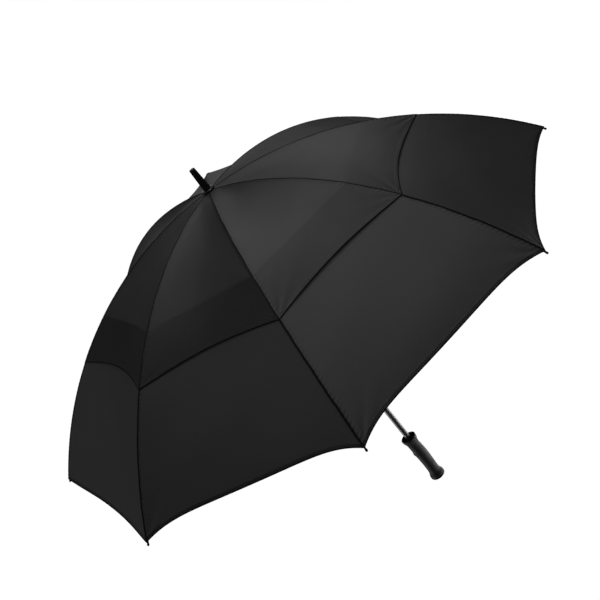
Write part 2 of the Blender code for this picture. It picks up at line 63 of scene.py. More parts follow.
# ---- Sizes that the solids have too ----------------------------------------------------------
RIBS = 8
RIB_TURN = 2 * pi / RIBS
HALF_TURN = RIB_TURN / 2
RIB_LENGTH = 0.787
CLOTH_Z = 0.944
CROWN_X, _, CROWN_Z = JOINTS["rib_1_fold"]["pos_m"]
RIB_DROP = CLOTH_Z - CROWN_Z      # rib's middle line below the cloth
SLOPE_LINEAR = 1.0983             # slope of the open rib in radians, at a share t of its length:
SLOPE_SQUARE = -0.1992            # SLOPE_LINEAR * t + SLOPE_SQUARE * t * t
FLEX_AT = 0.380                   # where the steel rib ends and the glass fibre rod starts
INNER_EDGE_AT = 0.3607            # inner edge of the lower canopy, along the rib
INNER_SCALLOP = 0.008
HEM_AT = 0.4844                   # outer edge of the upper canopy
PANEL_SAG = 0.020
CROWN_SAG = 0.008                 # more sag close to the crown, where the cloth is cut wide
CROWN_SAG_AT = 0.15
SHAFT_RADIUS = 0.007
BORE = SHAFT_RADIUS + 0.0003
ROD_RADIUS = 0.0018
ROD_END_RADIUS = 0.0014
TIP_RADIUS = 0.0025
TIP_LENGTH = 0.017
TIP_OVERHANG = 0.008


# ---- The open rib's curve --------------------------------------------------------------------
def rib_slope(s):
    """Angle below the horizontal, in radians, at arc length s."""
    t = np.maximum(s, 0.0) / RIB_LENGTH
    return SLOPE_LINEAR * t + SLOPE_SQUARE * t * t


TABLE_STEP = 0.0004
TABLE_S = np.arange(0.0, RIB_LENGTH + 0.03, TABLE_STEP)
MIDDLE_SLOPE = rib_slope(TABLE_S[:-1] + TABLE_STEP / 2)
TABLE_X = CROWN_X + np.concatenate(([0.0], np.cumsum(np.cos(MIDDLE_SLOPE)) * TABLE_STEP))
TABLE_Z = CLOTH_Z - np.concatenate(([0.0], np.cumsum(np.sin(MIDDLE_SLOPE)) * TABLE_STEP))


def rib_line(s, lift=0.0):
    """(x, z) in the rib plane at arc length s, raised by lift along the normal."""
    x = np.interp(s, TABLE_S, TABLE_X) + np.minimum(s, 0.0)
    z = np.interp(s, TABLE_S, TABLE_Z)
    slope = rib_slope(s)
    return x + lift * np.sin(slope), z + lift * np.cos(slope)


def rib_matrix(rib):
    return Matrix.Rotation((rib - 1) * RIB_TURN, 4, "Z")


# ---- Materials -------------------------------------------------------------------------------
class Wire:
    """A shader socket that takes part in Python arithmetic."""

    def __init__(self, finish, socket):
        self.finish = finish
        self.socket = socket

    def math(self, operation, *values):
        return self.finish.node("Math", {"operation": operation}, values)

    def __add__(self, other):
        return self.math("ADD", self, other)

    def __sub__(self, other):
        return self.math("SUBTRACT", self, other)

    def __mul__(self, other):
        return self.math("MULTIPLY", self, other)

    def __abs__(self):
        return self.math("ABSOLUTE", self)

    def ramp(self, low, high, out_low=0.0, out_high=1.0):
        """Runs smoothly from out_low at low to out_high at high."""
        settings = {"interpolation_type": "SMOOTHSTEP"}
        return self.finish.node("MapRange", settings, (self, low, high, out_low, out_high))

    def wave(self, pitch):
        """A sine of the given pitch, from -1 to 1."""
        return self.math("SINE", self * (2 * pi / pitch))


class Finish:
    """A material with one Principled shader, whose constants are set by the caller's names."""

    def __init__(self, name, color, roughness, **constants):
        self.material = bpy.data.materials.new(name)
        self.material.use_nodes = True
        self.tree = self.material.node_tree
        self.shader = self.tree.nodes["Principled BSDF"]
        self.put("Base Color", (*color, 1.0))
        self.put("Roughness", roughness)
        for socket, value in constants.items():
            self.put(socket.replace("_", " "), value)

    def node(self, kind, settings, values, output=0):
        """Adds a node: its settings first, then its sockets, by position or by name."""
        made = self.tree.nodes.new("ShaderNode" + kind)
        for name, value in settings.items():
            setattr(made, name, value)
        pairs = values.items() if isinstance(values, dict) else enumerate(values)
        for key, value in pairs:
            self.fill(made.inputs[key], value)
        return Wire(self, made.outputs[output])

    def fill(self, socket, value):
        if isinstance(value, Wire):
            self.tree.links.new(value.socket, socket)
        else:
            socket.default_value = value

    def put(self, socket, value):
        self.fill(self.shader.inputs[socket], value)

    def where(self):
        """The point on the object at rest, in metres."""
        return self.node("TexCoord", {}, (), "Object")

    def parts(self, vector):
        """The three numbers of a vector."""
        return [self.node("SeparateXYZ", {}, (vector,), axis) for axis in "XYZ"]

    def noise(self, scale, detail=2.0, vector=None):
        values = {"Scale": scale, "Detail": detail}
        values["Vector"] = self.where() if vector is None else vector
        return self.node("TexNoise", {}, values)

    def stretched(self, scale):
        """The point on the object, scaled along each axis, for grain that runs one way."""
        settings = {"operation": "MULTIPLY"}
        return self.node("VectorMath", settings, (self.where(), scale))

    def mix(self, share, first, second):
        """Two colours mixed by share."""
        settings = {"data_type": "RGBA"}
        values = {0: share, 6: (*first, 1.0), 7: (*second, 1.0)}
        return self.node("Mix", settings, values, 2)

    def bump(self, height, distance, strength=1.0):
        values = {"Strength": strength, "Distance": distance, "Height": height}
        return self.node("Bump", {}, values)

    def let_through(self, share, color):
        """Lets light from behind show through a thin sheet, in the given share and colour."""
        front = Wire(self, self.shader.outputs[0])
        behind = self.node("BsdfTranslucent", {}, {"Color": (*color, 1.0)})
        both = self.node("MixShader", {}, (share, front, behind))
        self.fill(self.tree.nodes["Material Output"].inputs["Surface"], both)


def grained(name, color, roughness, grain=900.0, depth=0.00004, spread=0.15, **constants):
    """A moulded or painted surface: fine grain in its height, soft patches in tone and gloss."""
    finish = Finish(name, color, roughness, **constants)
    patch = finish.noise(60.0, 3.0)
    worn = tuple(min(1.0, c * (1 + 2 * spread) + 0.002) for c in color)
    finish.put("Base Color", finish.mix(patch.ramp(0.35, 0.75), color, worn))
    finish.put("Roughness", patch * spread + (roughness - spread / 2))
    finish.put("Normal", finish.bump(finish.noise(grain, 2.0), depth))
    return finish.material


def rubber():
    """Matte grip rubber: stippled skin, polished a little where the hand holds it."""
    finish = Finish("grip_rubber", (0.10, 0.10, 0.10), 0.5, Specular_IOR_Level=0.2)
    height = finish.parts(finish.where())[2]
    held = height.ramp(0.03, 0.06) * height.ramp(0.115, 0.09)
    patch = finish.noise(45.0, 4.0)
    stipple = finish.node("TexVoronoi", {}, {"Vector": finish.where(), "Scale": 1100.0})
    finish.put("Base Color", finish.mix(patch, (0.085, 0.085, 0.085), (0.115, 0.115, 0.116)))
    finish.put("Roughness", patch * 0.10 + 0.46 - held * 0.06)
    finish.put("Normal", finish.bump(stipple, 0.00002, 0.04))
    return finish.material


def drawn_metal(name, color, roughness, **constants):
    """Metal drawn or wound lengthwise: long fine streaks up the shaft."""
    finish = Finish(name, color, roughness, **constants)
    streak = finish.noise(1.0, 4.0, finish.stretched((900.0, 900.0, 12.0)))
    patch = finish.noise(25.0, 3.0)
    bright = tuple(min(1.0, c * 1.5 + 0.004) for c in color)
    finish.put("Base Color", finish.mix(streak * patch * 1.6, color, bright))
    finish.put("Roughness", streak * 0.14 + roughness - 0.07)
    finish.put("Normal", finish.bump(streak, 0.00003, 0.5))
    return finish.material


def cloth(name, color, seam_painted_shade=0.6):
    """Close plain-weave nylon: the weave, rubbed patches, puckers beside the seams and the
    stitched hem. Light from behind shows through it where it lies in one layer.

    The sheet's place attribute holds, in metres, the distance from the seam and the distance
    from the outer edge.
    """
    finish = Finish(name, color, 0.45, Specular_IOR_Level=0.5)
    place = finish.node("Attribute", {"attribute_name": "place"}, (), "Vector")
    seam, edge, _ = finish.parts(place)
    across, along, _ = finish.parts(finish.node("UVMap", {"uv_map": "weave"}, ()))
    patch = finish.noise(9.0, 5.0)
    slub = finish.noise(1.0, 2.0, finish.stretched((160.0, 160.0, 160.0)))
    rubbed = patch.ramp(0.3, 0.8, 0.92, 1.10) * slub.ramp(0.2, 0.8, 0.97, 1.03)
    # Painted shade: the base colour is darkened within 10 mm of each seam (to the seam tone) and
    # to half within 3 mm of the outer edge, standing in for the shade beside the ribs and along
    # the hems; rubbed is random wear and slubs.
    wear_and_painted_shade = rubbed * seam.ramp(0.0, 0.010, seam_painted_shade, 1.0) * edge.ramp(0.0004, 0.003, 0.5, 1.0)
    finish.put("Base Color", finish.mix(wear_and_painted_shade, (0.0, 0.0, 0.0), color))
    finish.put("Roughness", patch * 0.10 + 0.40)
    weave = across.wave(0.0009) * along.wave(0.0009)
    pucker = (along + patch * 0.01).wave(0.011) * seam.ramp(0.016, 0.001)
    stitch = abs(edge - 0.0075).ramp(0.0006, 0.0002) * across.wave(0.0034).ramp(-0.2, 0.1)
    hem = edge.ramp(0.0100, 0.0088)
    height = weave * 0.00003 + pucker * 0.00022 + stitch * 0.00025 + hem * 0.0003
    finish.put("Normal", finish.bump(height, 1.0, 0.8))
    finish.let_through(0.1, (0.3, 0.3, 0.3))
    return finish.material


MATERIALS = {
    "upper_cloth": cloth("upper_cloth", (0.0180, 0.0180, 0.0184)),
    "lower_cloth": cloth("lower_cloth", (0.0245, 0.0245, 0.0250)),
    # Seam tape and bound edges: near-black, darker than the cloth they are folded from, as
    # painted shade in the valley over each rib and along the hems.
    "seam_tape_painted_shade": grained("seam_tape_painted_shade", (0.004, 0.004, 0.004), 0.7, 1500.0, 0.0001, 0.1,
                         Specular_IOR_Level=0.15),
    "thread": grained("thread", (0.016, 0.016, 0.017), 0.5, 3000.0, 0.0001, 0.1),
    "rib_lacquer": grained("rib_lacquer", (0.030, 0.030, 0.032), 0.32, 700.0, 0.00002, 0.12,
                           Metallic=0.4, Coat_Weight=0.3),
    "glass_fibre": drawn_metal("glass_fibre", (0.018, 0.018, 0.020), 0.36, Coat_Weight=0.3),
    "tip_plastic": grained("tip_plastic", (0.005, 0.005, 0.005), 0.5, Specular_IOR_Level=0.25),
    "moulded_nylon": grained("moulded_nylon", (0.018, 0.018, 0.019), 0.42),
    "butt_plastic": grained("butt_plastic", (0.024, 0.024, 0.025), 0.38),
    "wire_steel": drawn_metal("wire_steel", (0.50, 0.50, 0.51), 0.3, Metallic=1.0),
    "leaf_steel": drawn_metal("leaf_steel", (0.46, 0.46, 0.48), 0.28, Metallic=1.0),
    "shaft_graphite": drawn_metal("shaft_graphite", (0.16, 0.16, 0.165), 0.34, Metallic=0.5,
                                  Coat_Weight=0.5, Coat_Roughness=0.15),
    "ferrule_lacquer": grained("ferrule_lacquer", (0.004, 0.004, 0.004), 0.20, 500.0, 0.00001,
                               0.08, Specular_IOR_Level=0.6),
    "disc_gloss": grained("disc_gloss", (0.003, 0.003, 0.003), 0.12, 400.0, 0.00001, 0.05,
                          Specular_IOR_Level=0.7),
    "cup_gloss": grained("cup_gloss", (0.006, 0.006, 0.006), 0.18, 400.0, 0.00001, 0.08,
                         Coat_Weight=0.6, Coat_Roughness=0.06),
    "grip_rubber": rubber(),
}


# ---- Making pieces ---------------------------------------------------------------------------
def add_piece(name, mesh, material, body):
    """Puts a mesh in the scene as one piece, riding on a body."""
    piece = bpy.data.objects.new(name, mesh)
    bpy.context.collection.objects.link(piece)
    mesh.materials.clear()
    mesh.materials.append(MATERIALS[material])
    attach(piece, body)
    return piece


def mesh_of(bm, name, sharp=40):
    bmesh.ops.recalc_face_normals(bm, faces=bm.faces)
    mesh = bpy.data.meshes.new(name)
    bm.to_mesh(mesh)
    bm.free()
    mesh.shade_smooth()
    mesh.set_sharp_from_angle(angle=radians(sharp))
    return mesh


def skin(name, rings, closed_ends=True, sharp=40):
    """A skin over closed rings of equal length, each a list of points."""
    bm = bmesh.new()
    loops = [[bm.verts.new(p) for p in ring] for ring in rings]
    count = len(loops[0])
    for a, b in zip(loops, loops[1:]):
        for i in range(count):
            j = (i + 1) % count
            bm.faces.new((a[i], a[j], b[j], b[i]))
    if closed_ends:
        bm.faces.new(loops[0])
        bm.faces.new(loops[-1])
    return mesh_of(bm, name, sharp)


def turned(name, outline, segments=96, sharp=40):
    """A closed outline of (radius, z) points, turned about the shaft's axis."""
    bm = bmesh.new()
    corners = [bm.verts.new((r, 0.0, z)) for r, z in outline]
    edges = [bm.edges.new(pair) for pair in zip(corners, corners[1:] + corners[:1])]
    bmesh.ops.spin(bm, geom=corners + edges, cent=(0, 0, 0), axis=(0, 0, 1),
                   angle=2 * pi, steps=segments, use_merge=True)
    bmesh.ops.remove_doubles(bm, verts=bm.verts, dist=1e-6)
    on_axis = [e for e in bm.edges if all(v.co.xy.length < 1e-6 for v in e.verts)]
    bmesh.ops.delete(bm, geom=on_axis, context="EDGES")
    return mesh_of(bm, name, sharp)


CORNER_STEPS = 4


def rounded(outline, radius):
    """The closed outline with each corner cut to an arc, no larger than its edges allow."""
    points = [Vector(p) for p in outline]
    result = []
    for before, corner, after in zip(points[-1:] + points[:-1], points, points[1:] + points[:1]):
        to_before, to_after = before - corner, after - corner
        on_axis = corner.x < 1e-6
        straight = abs(to_before.normalized().dot(to_after.normalized())) > 0.999
        if on_axis or straight:
            result.append(tuple(corner))
            continue
        reach = min(radius, 0.45 * to_before.length, 0.45 * to_after.length)
        start = corner + to_before.normalized() * reach
        end = corner + to_after.normalized() * reach
        for share in np.linspace(0.0, 1.0, CORNER_STEPS + 1):
            point = start * (1 - share) ** 2 + corner * 2 * share * (1 - share) + end * share ** 2
            result.append(tuple(point))
    return result


# ---- Canopy ----------------------------------------------------------------------------------
class Layer:
    """One canopy: its lift above the rib's cloth line, its outer edge and how far it is pulled in
    midway between the ribs, how sharply its corners are drawn out, and each panel's own ease."""

    def __init__(self, lift, drop, edge_at, scallop, power, ease):
        self.lift = lift
        self.drop = drop          # how far its middle hangs lower than the sag
        self.edge_at = edge_at
        self.scallop = scallop
        self.power = power
        self.ease = ease          # panel: how much less its edge is pulled in


UPPER = Layer(0.0005, 0.0, HEM_AT, 0.024, 2, {})
LOWER = Layer(-0.0005, 0.0035, RIB_LENGTH, 0.026, 6, {8: 0.012, 5: 0.032})
SLACK_HEIGHT = 0.0007             # soft waves over a panel
CREASE_HEIGHT = 0.0006            # creases out of its corners
CREASE_REACH = 0.055


def bow(across, power=2):
    """0 on a rib and 1 midway to the next one; a higher power rises faster from the rib."""
    return 1 - (1 - across) ** power


def ripple(s, share, panel, layer):
    """Slack in the cloth: soft waves over the panel and creases fanning out of its corners."""
    wide = share * (1 - share) * 4
    phase = 1.7 * panel + (0.9 if layer is LOWER else 0.0)
    soft = np.sin(23 * s + phase) * np.sin(pi * (2 * share + 0.31 * panel))
    soft += 0.6 * np.sin(41 * s - 2.3 * phase + 5 * share)
    width = RIB_TURN * np.interp(s, TABLE_S, TABLE_X)
    crease = 0.0
    for side in (share, 1 - share):
        out, back = side * width, layer.edge_at - s
        reach = np.hypot(out, back)
        angle = np.arctan2(np.maximum(back, 0.0), out + 1e-6)
        fan = np.sin(11 * angle + phase) * np.exp(-reach / CREASE_REACH)
        crease += fan * np.clip(reach / 0.03, 0, 1) * np.clip(out / 0.01, 0, 1)
    return SLACK_HEIGHT * soft * wide * np.clip(s / 0.1, 0, 1) + CREASE_HEIGHT * crease


def cloth_point(s, turn, panel, layer, side):
    """(radius, z) of the cloth: s along the rib and turn away from it, up to the next rib."""
    across = 1 - np.abs(1 - turn / HALF_TURN)
    share = turn / RIB_TURN if side > 0 else 1 - turn / RIB_TURN
    inside = np.maximum(s, 0.0)
    pulled = layer.scallop - layer.ease.get(panel, 0.0)
    s = s - pulled * bow(across, layer.power) * (inside / layer.edge_at) ** 2
    x, z = rib_line(s)
    slope = rib_slope(s)
    near = inside / CROWN_SAG_AT
    slack = CROWN_SAG * (near * np.exp(1 - near)) ** 2
    sag = (PANEL_SAG * inside / RIB_LENGTH + slack + layer.drop) * bow(across)
    rise = layer.lift - sag + ripple(s, share, panel, layer)
    radius = (x + rise * np.sin(slope)) * cos(HALF_TURN) / np.cos(HALF_TURN - turn)
    return radius, z + rise * np.cos(slope)


def cloth_place(s, turn, rib, side, layer, lift=0.0):
    """Points of a half panel in the row frame, as an array, lifted along the normal."""
    panel = rib if side > 0 else (rib - 2) % RIBS + 1

    def at(s, turn):
        radius, z = cloth_point(s, turn, panel, layer, side)
        azimuth = (rib - 1) * RIB_TURN + side * turn
        return np.stack([radius * np.cos(azimuth), radius * np.sin(azimuth), z], -1)

    small, angle = 0.0005, 0.002
    along = at(s + small, turn) - at(s - small, turn)
    across = at(s, turn + angle) - at(s, np.maximum(turn - angle, 0.0))
    normal = np.cross(along, across) * side
    normal /= np.linalg.norm(normal, axis=-1, keepdims=True)
    return at(s, turn) + normal * lift, normal


def columns(count):
    """Turns across a half panel, closer together near the rib."""
    return HALF_TURN * np.linspace(0.0, 1.0, count + 1) ** 1.35


# Points of the hem past the cloth's edge: how far out along the rib, and how far above the cloth.
HEM_FOLD = ((0.0007, -0.0004), (0.0008, -0.0009), (0.0002, -0.0014), (-0.0030, -0.0014),
            (-0.0090, -0.0010))


def half_panel(name, rib, side, layer, start, end, rows, count, body, folded):
    """Half a panel of cloth between start and end along the rib, with its hem turned under."""
    turns = columns(count)
    steps = np.linspace(0.0, 1.0, rows + 1)
    across = turns / HALF_TURN
    begin = start(across) if callable(start) else np.full(len(turns), start)
    s = begin[None, :] + (end - begin[None, :]) * steps[:, None]
    lifts = np.zeros(rows + 1)
    if folded:
        extra = np.array([out for out, _ in HEM_FOLD])
        s = np.vstack([s, end + extra[:, None] + np.zeros(len(turns))[None, :]])
        lifts = np.concatenate([lifts, [lift for _, lift in HEM_FOLD]])
    turn = np.broadcast_to(turns[None, :], s.shape)
    points, normals = cloth_place(s, turn, rib, side, layer, lifts[:, None, None])
    if folded:
        under = len(HEM_FOLD)
        normals[-under + 2:] *= -1
        outward = points[-under] - points[-under - 1]
        normals[-under + 1] = outward / np.linalg.norm(outward, axis=-1, keepdims=True)
    grid = points.reshape(-1, 3)
    height, width = s.shape
    index = np.arange(height * width).reshape(height, width)
    faces = np.stack([index[:-1, :-1], index[1:, :-1], index[1:, 1:], index[:-1, 1:]], -1)
    faces = faces.reshape(-1, 4) if side > 0 else faces.reshape(-1, 4)[:, ::-1]
    mesh = bpy.data.meshes.new(name)
    mesh.from_pydata(grid.tolist(), [], faces.tolist())
    mesh.shade_smooth()
    seam = turn * np.interp(s, TABLE_S, TABLE_X)
    edge = layer.edge_at - s if layer is LOWER or folded else np.full(s.shape, 1.0)
    place = np.stack([seam, edge, 0 * seam], -1).reshape(-1)
    mesh.attributes.new("place", "FLOAT_VECTOR", "POINT").data.foreach_set("vector", place)
    corners = np.zeros(len(mesh.loops), int)
    mesh.loops.foreach_get("vertex_index", corners)
    weave = np.stack([seam.reshape(-1)[corners], s.reshape(-1)[corners]], -1).reshape(-1)
    mesh.uv_layers.new(name="weave").data.foreach_set("uv", weave)
    mesh.normals_split_custom_set_from_vertices(normals.reshape(-1, 3).tolist())
    slot = "upper_cloth" if layer is UPPER else "lower_cloth"
    return add_piece(name, mesh, slot, body)


BINDING_HALF = 0.0012
# Corners of the folded tape: how far out, in half widths, and how far above the cloth.
BINDING_PROFILE = (
    (-1.6, 0.00015), (-1.5, 0.00050), (-0.2, 0.00060), (0.75, 0.00020), (0.85, -0.00060),
    (0.2, -0.00200), (-1.2, -0.00190), (-1.2, -0.00165), (0.1, -0.00165), (0.3, -0.00060),
    (0.0, 0.00015))


def binding(name, rib, side, layer, count, body):
    """The bound edge of a half panel: a narrow folded tape over its outer edge, near-black as
    painted shade along the hem.
    """
    turns = np.linspace(0.0, HALF_TURN, count + 1)
    rings = np.stack([
        cloth_place(np.full(count + 1, layer.edge_at + share * BINDING_HALF), turns, rib, side,
                    layer, lift)[0]
        for share, lift in BINDING_PROFILE], 1)
    return add_piece(name, skin(name, rings.tolist(), sharp=60), "seam_tape_painted_shade", body)


def chord_normal(first, last):
    """Unit normal, in the rib plane, of the rib's chord between two arc lengths."""
    (x0, z0), (x1, z1) = rib_line(first), rib_line(last)
    return Vector((z0 - z1, 0.0, x1 - x0)).normalized()


TOP_PLEAT = (radians(8.7), 0.07)  # tilt of the width that is gathered, and the share kept
HEM_PLEAT = (radians(19.0), 0.07)
LOW_PLEAT = (radians(22.0), 0.05)


def pleat(piece, rib, side, first, last, tilt, keep):
    """Gives a half panel its own mesh; the way across the panel along which it would gather to
    its rib as the umbrella closes is worked out, but the mesh is not gathered.
    """
    across = Vector((0.0, side, 0.0)) * cos(tilt) - chord_normal(first, last) * sin(tilt)
    x, z = rib_line((first + last) / 2)
    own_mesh(piece)


def inner_edge(across):
    return INNER_EDGE_AT - INNER_SCALLOP * bow(across)


CROWN_EDGE = -0.0042              # where the upper cloth starts, under the disc


def make_canopy():
    for rib in range(1, RIBS + 1):
        for side, hand in ((1, "left"), (-1, "right")):
            top = half_panel(f"upper_panel_{rib}_{hand}", rib, side, UPPER, CROWN_EDGE, FLEX_AT,
                             76, 26, f"rib_{rib}", False)
            pleat(top, rib, side, 0.0, FLEX_AT, *TOP_PLEAT)
            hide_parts(f"canopy_upper_{rib}")
            hem = half_panel(f"upper_hem_{rib}_{hand}", rib, side, UPPER, FLEX_AT, HEM_AT,
                             21, 30, f"rib_end_{rib}", True)
            pleat(hem, rib, side, FLEX_AT, HEM_AT, *HEM_PLEAT)
            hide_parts(f"canopy_upper_{rib}")
            low = half_panel(f"lower_panel_{rib}_{hand}", rib, side, LOWER, inner_edge,
                             RIB_LENGTH, 86, 36, f"rib_end_{rib}", True)
            pleat(low, rib, side, INNER_EDGE_AT, RIB_LENGTH, *LOW_PLEAT)
            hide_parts(f"canopy_lower_{rib}")
            hem_edge = binding(f"upper_binding_{rib}_{hand}", rib, side, UPPER, 30,
                               f"rib_end_{rib}")
            pleat(hem_edge, rib, side, FLEX_AT, HEM_AT, *HEM_PLEAT)
            rim_edge = binding(f"lower_binding_{rib}_{hand}", rib, side, LOWER, 40,
                               f"rib_end_{rib}")
            pleat(rim_edge, rib, side, INNER_EDGE_AT, RIB_LENGTH, *LOW_PLEAT)


# ---- Seams over the ribs ---------------------------------------------------------------------
SEAM_PROFILE = ((-1.0, -0.0008), (-0.75, 0.35), (0.0, 1.0), (0.75, 0.35), (1.0, -0.0008))
SEAM_STEP = 0.0022
PUCKER_PITCH = 0.011
EDGE_SINK = 0.0005                # the seam's edges lie in the cloth
FOOT_SINK = 0.0011


def seam_strip(name, rib, first, last, lift, body, half, swell):
    """The felled seam over a rib: a narrow ridge of folded cloth, puckered by its stitches."""
    length = last - first
    stations = np.arange(first, last + 1e-9, length / round(length / SEAM_STEP))
    rings = []
    for s in stations:
        drawn = 1 + 0.22 * sin(2 * pi * s / PUCKER_PITCH + rib) * sin(37 * s + 2 * rib)
        sway = 0.0003 * sin(61 * s + 3 * rib) + 0.0002 * sin(147 * s)
        ring = []
        for share, height in SEAM_PROFILE:
            sink = EDGE_SINK if height < 0 else 0
            x, z = rib_line(s, lift + max(height, 0.0) * swell * drawn - sink)
            y = share * half * (1.08 - 0.08 * drawn) + sway
            ring.append((x, y, z))
        x, z = rib_line(s, lift - FOOT_SINK)
        ring.append((x, sway, z))
        rings.append(ring)
    mesh = skin(name, rings, sharp=70)
    mesh.transform(rib_matrix(rib))
    # Near-black tape: painted shade of the valley along the rib.
    return add_piece(name, mesh, "seam_tape_painted_shade", body)


def make_seams():
    for rib in range(1, RIBS + 1):
        seam_strip(f"upper_seam_{rib}", rib, 0.006, FLEX_AT, UPPER.lift, f"rib_{rib}",
                   0.0011, 0.0005)
        seam_strip(f"hem_seam_{rib}", rib, FLEX_AT, HEM_AT + 0.0006, UPPER.lift,
                   f"rib_end_{rib}", 0.0012, 0.0005)
        seam_strip(f"lower_seam_{rib}", rib, HEM_AT + 0.0012, RIB_LENGTH - 0.001, LOWER.lift,
                   f"rib_end_{rib}", 0.0021, 0.0008)


# ---- Ribs ------------------------------------------------------------------------------------
def rod_ring(s, radius, sides=16):
    ring = []
    for angle in np.linspace(0, 2 * pi, sides, endpoint=False):
        x, z = rib_line(s, -RIB_DROP + radius * sin(angle))
        ring.append((x, radius * cos(angle), z))
    return ring


ROD_END_AT = RIB_LENGTH - 0.0035


def make_rods():
    """Glass fibre rods, tapered towards the tip, with a round nose."""
    for rib in range(1, RIBS + 1):
        rings = [rod_ring(FLEX_AT - ROD_RADIUS * cos(a), ROD_RADIUS * sin(a))
                 for a in radians(15) * np.arange(1, 6)]
        for share in np.linspace(0.0, 1.0, 56):
            radius = ROD_RADIUS + (ROD_END_RADIUS - ROD_RADIUS) * share
            rings.append(rod_ring(FLEX_AT + (ROD_END_AT - FLEX_AT) * share, radius))
        mesh = skin(f"rod_{rib}", rings)
        mesh.transform(rib_matrix(rib))
        rod = add_piece(f"rod_{rib}", mesh, "glass_fibre", f"rib_end_{rib}")
        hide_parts(f"rib_outer_{rib}")


def make_tips():
    """Moulded rib tips: a sleeve, a waist that the cloth's corner is sewn round, and a knob."""
    start, end = RIB_LENGTH + TIP_OVERHANG - TIP_LENGTH, RIB_LENGTH + TIP_OVERHANG
    bore = ROD_END_RADIUS + 0.0004
    waist = TIP_RADIUS * 0.78
    profile = [(ROD_END_AT + 0.0003, bore), (start, bore), (start, TIP_RADIUS * 0.80),
               (start + 0.0005, TIP_RADIUS * 0.87), (start + 0.002, TIP_RADIUS * 0.95),
               (RIB_LENGTH - 0.0034, TIP_RADIUS * 0.95), (RIB_LENGTH - 0.0028, TIP_RADIUS * 0.92),
               (RIB_LENGTH - 0.0016, waist), (RIB_LENGTH + 0.0014, waist),
               (RIB_LENGTH + 0.0026, TIP_RADIUS * 0.93), (RIB_LENGTH + 0.0034, TIP_RADIUS)]
    profile += [(end - 0.0024 + 0.0024 * sin(a), TIP_RADIUS * (0.25 + 0.75 * cos(a)))
                for a in radians(15) * np.arange(0, 7)]
    for rib in range(1, RIBS + 1):
        mesh = skin(f"tip_cap_{rib}", [rod_ring(s, max(r, 0.0004), 24) for s, r in profile])
        mesh.transform(rib_matrix(rib))
        cap = add_piece(f"tip_cap_{rib}", mesh, "tip_plastic", f"rib_end_{rib}")
        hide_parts(f"rib_tip_{rib}")


WRAP_TURNS = 5
WRAP_WIDTH = 0.003
THREAD_RADIUS = 0.00025


def thread_wrap(bm, rib, s, radius):
    """A few turns of sewing thread round a rib, in the given mesh."""
    count = WRAP_TURNS * 14
    rings = []
    for i in range(count + 1):
        angle = 2 * pi * WRAP_TURNS * i / count
        at = s + WRAP_WIDTH * (i / count - 0.5)
        ring = []
        for side in np.linspace(0, 2 * pi, 6, endpoint=False):
            out = radius + THREAD_RADIUS * cos(side)
            x, z = rib_line(at + THREAD_RADIUS * sin(side), -RIB_DROP + out * sin(angle))
            ring.append(rib_matrix(rib) @ Vector((x, out * cos(angle), z)))
        rings.append([bm.verts.new(p) for p in ring])
    for a, b in zip(rings, rings[1:]):
        for i in range(6):
            j = (i + 1) % 6
            bm.faces.new((a[i], a[j], b[j], b[i]))
    bm.faces.new(rings[0])
    bm.faces.new(rings[-1])


def make_ties():
    """Threads that hold the cloth to each rib."""
    for rib in range(1, RIBS + 1):
        for name, body, places, radius in (
                ("inner_ties", f"rib_{rib}", (0.13, 0.25), 0.0032),
                ("outer_ties", f"rib_end_{rib}", (0.52, 0.61, 0.70), 0.0021)):
            bm = bmesh.new()
            for s in places:
                thread_wrap(bm, rib, s, radius)
            mesh = mesh_of(bm, f"{name}_{rib}", 80)
            add_piece(f"{name}_{rib}", mesh, "thread", body)


# ---- Top: disc and ferrule -------------------------------------------------------------------
def make_top():
    low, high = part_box("top_cap")
    width, base, top = high[0], low[2], high[2]
    outline = [(BORE, top - 0.0004), (BORE, base), (width - 0.0006, base), (width, base + 0.0008),
               (width - 0.0001, top - 0.0026), (width - 0.0012, top - 0.0010),
               (width - 0.0040, top - 0.0003), (BORE + 0.0030, top)]
    outline = rounded(outline, 0.0006)
    disc = add_piece("disc", turned("disc", outline, 128), "disc_gloss", "root")
    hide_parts("top_cap")

    low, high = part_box("ferrule")
    base, end = low[2], high[2]
    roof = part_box("shaft")[1][2] + 0.0003
    outline = [(0.0, roof), (BORE, roof), (BORE, base), (0.0090, base), (0.0092, base + 0.0012),
               (0.0088, base + 0.0048), (0.0069, end - 0.0022), (0.0064, end), (0.0, end)]
    mesh = turned("ferrule_cap", rounded(outline, 0.0008), 96)
    cap = add_piece("ferrule_cap", mesh, "ferrule_lacquer", "root")
    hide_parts("ferrule")


# ---- Handle ----------------------------------------------------------------------------------
GRIP_HEIGHTS = (0.0068, 0.0100, 0.0150, 0.0205, 0.0280, 0.0500, 0.0750, 0.0910, 0.1080, 0.1170,
                0.1232)
GRIP_RADII = (0.0192, 0.0190, 0.0172, 0.0153, 0.0146, 0.0149, 0.0157, 0.0158, 0.0154, 0.0152,
              0.0160)
PALM_SWELL = 0.0014
FINGER_STOP_AT = 0.0905
FINGER_STOP_RISE = 0.0018


def smooth_curve(at, places, values):
    """Catmull-Rom curve through the given places and values."""
    i = min(max(int(np.searchsorted(places, at)) - 1, 0), len(places) - 2)
    span = places[i + 1] - places[i]
    t = (at - places[i]) / span
    before, after = max(i - 1, 0), min(i + 2, len(places) - 1)
    m0 = (values[i + 1] - values[before]) / (places[i + 1] - places[before]) * span
    m1 = (values[after] - values[i]) / (places[after] - places[i]) * span
    return ((2 * t ** 3 - 3 * t ** 2 + 1) * values[i] + (t ** 3 - 2 * t ** 2 + t) * m0
            + (3 * t ** 2 - 2 * t ** 3) * values[i + 1] + (t ** 3 - t ** 2) * m1)


